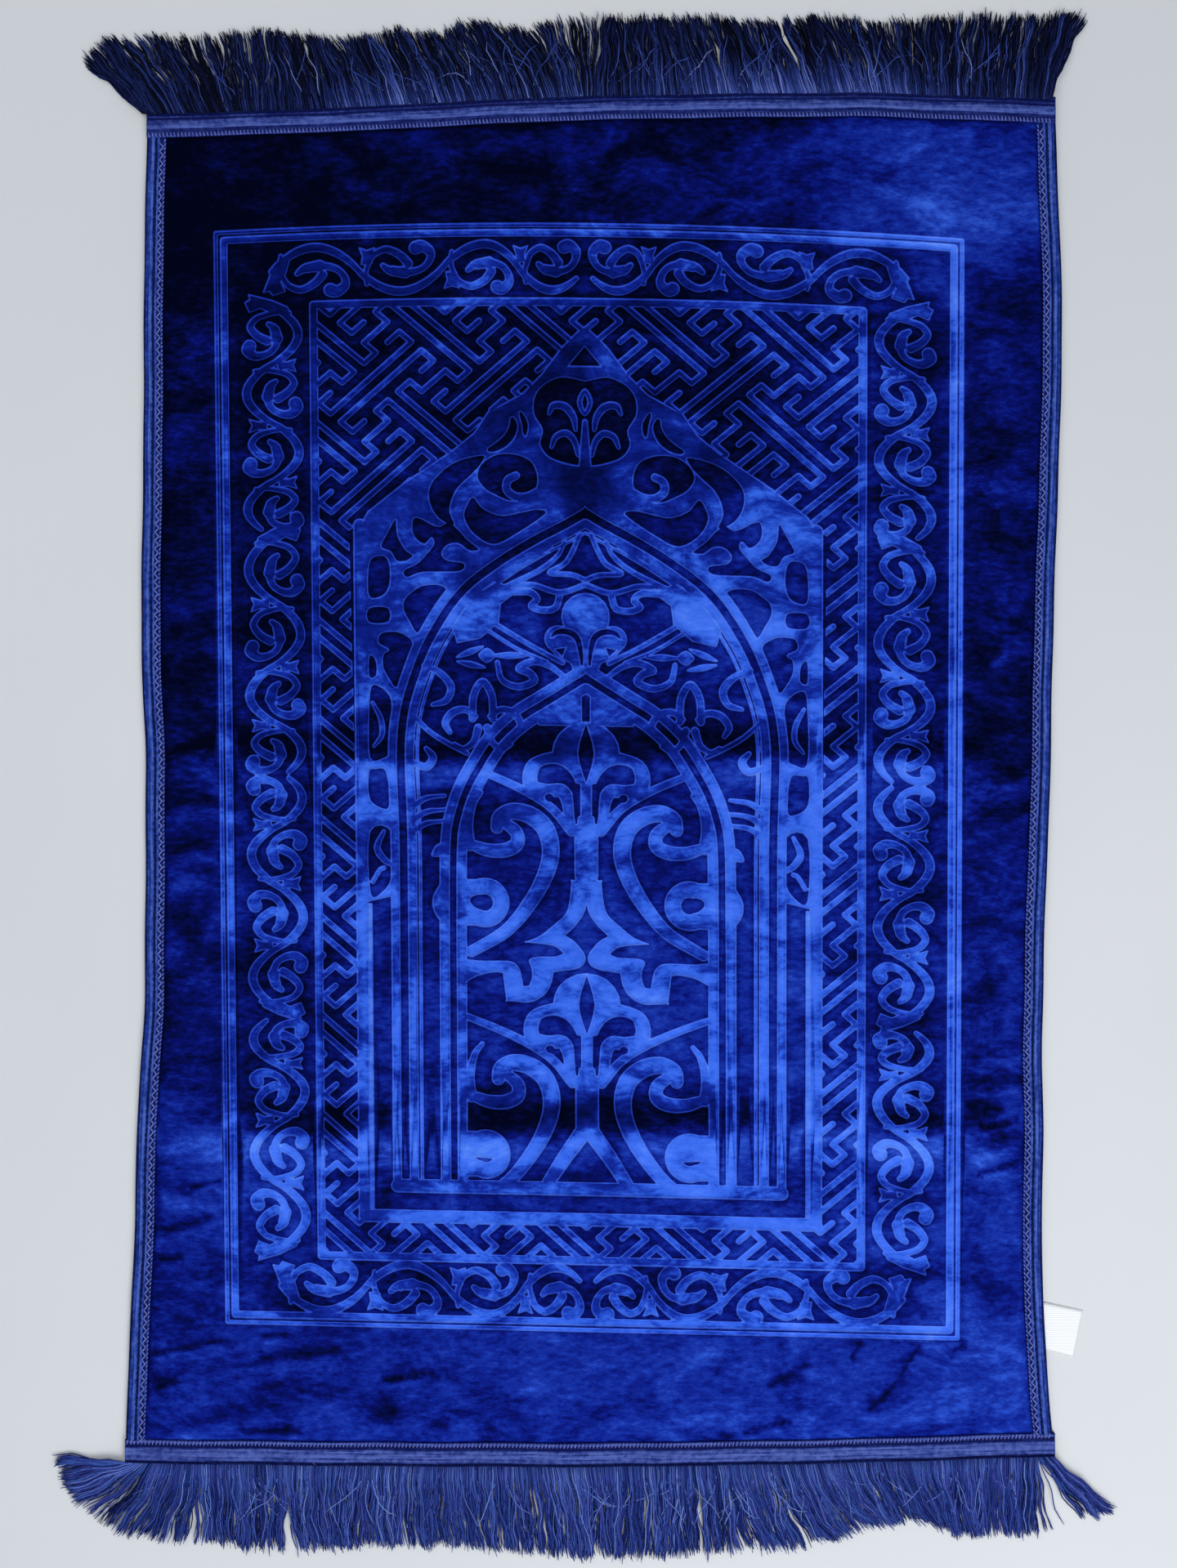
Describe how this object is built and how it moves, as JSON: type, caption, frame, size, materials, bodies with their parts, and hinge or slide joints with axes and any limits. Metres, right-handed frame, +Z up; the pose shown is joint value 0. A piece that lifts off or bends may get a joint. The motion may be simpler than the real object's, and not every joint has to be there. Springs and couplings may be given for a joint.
{
  "type": "prayer rug",
  "caption": "Flat rectangular plush prayer rug with a pressed niche pattern, bound edges and a fringe at each end.",
  "frame": {"origin": "centre of the whole rug's footprint, on the floor", "axes": "+Z up from the floor, +Y along the rug towards the arch's point, +X across the rug"},
  "size_m": [0.9237, 1.3513, 0.0086],
  "materials": {
    "plush": "cut pile, pattern pressed into it",
    "braid": "ribbed satin braid",
    "yarn": "loose soft yarn",
    "ribbon": "smooth woven ribbon, blank"
  },
  "bodies": {
    "root": {"rug_ground": "plush", "side_binding_left": "braid", "side_binding_right": "braid", "end_tape_top": "braid", "end_tape_bottom": "braid", "fringe_top": "yarn", "fringe_bottom": "yarn", "side_label": "ribbon"}
  },
  "joints": []
}
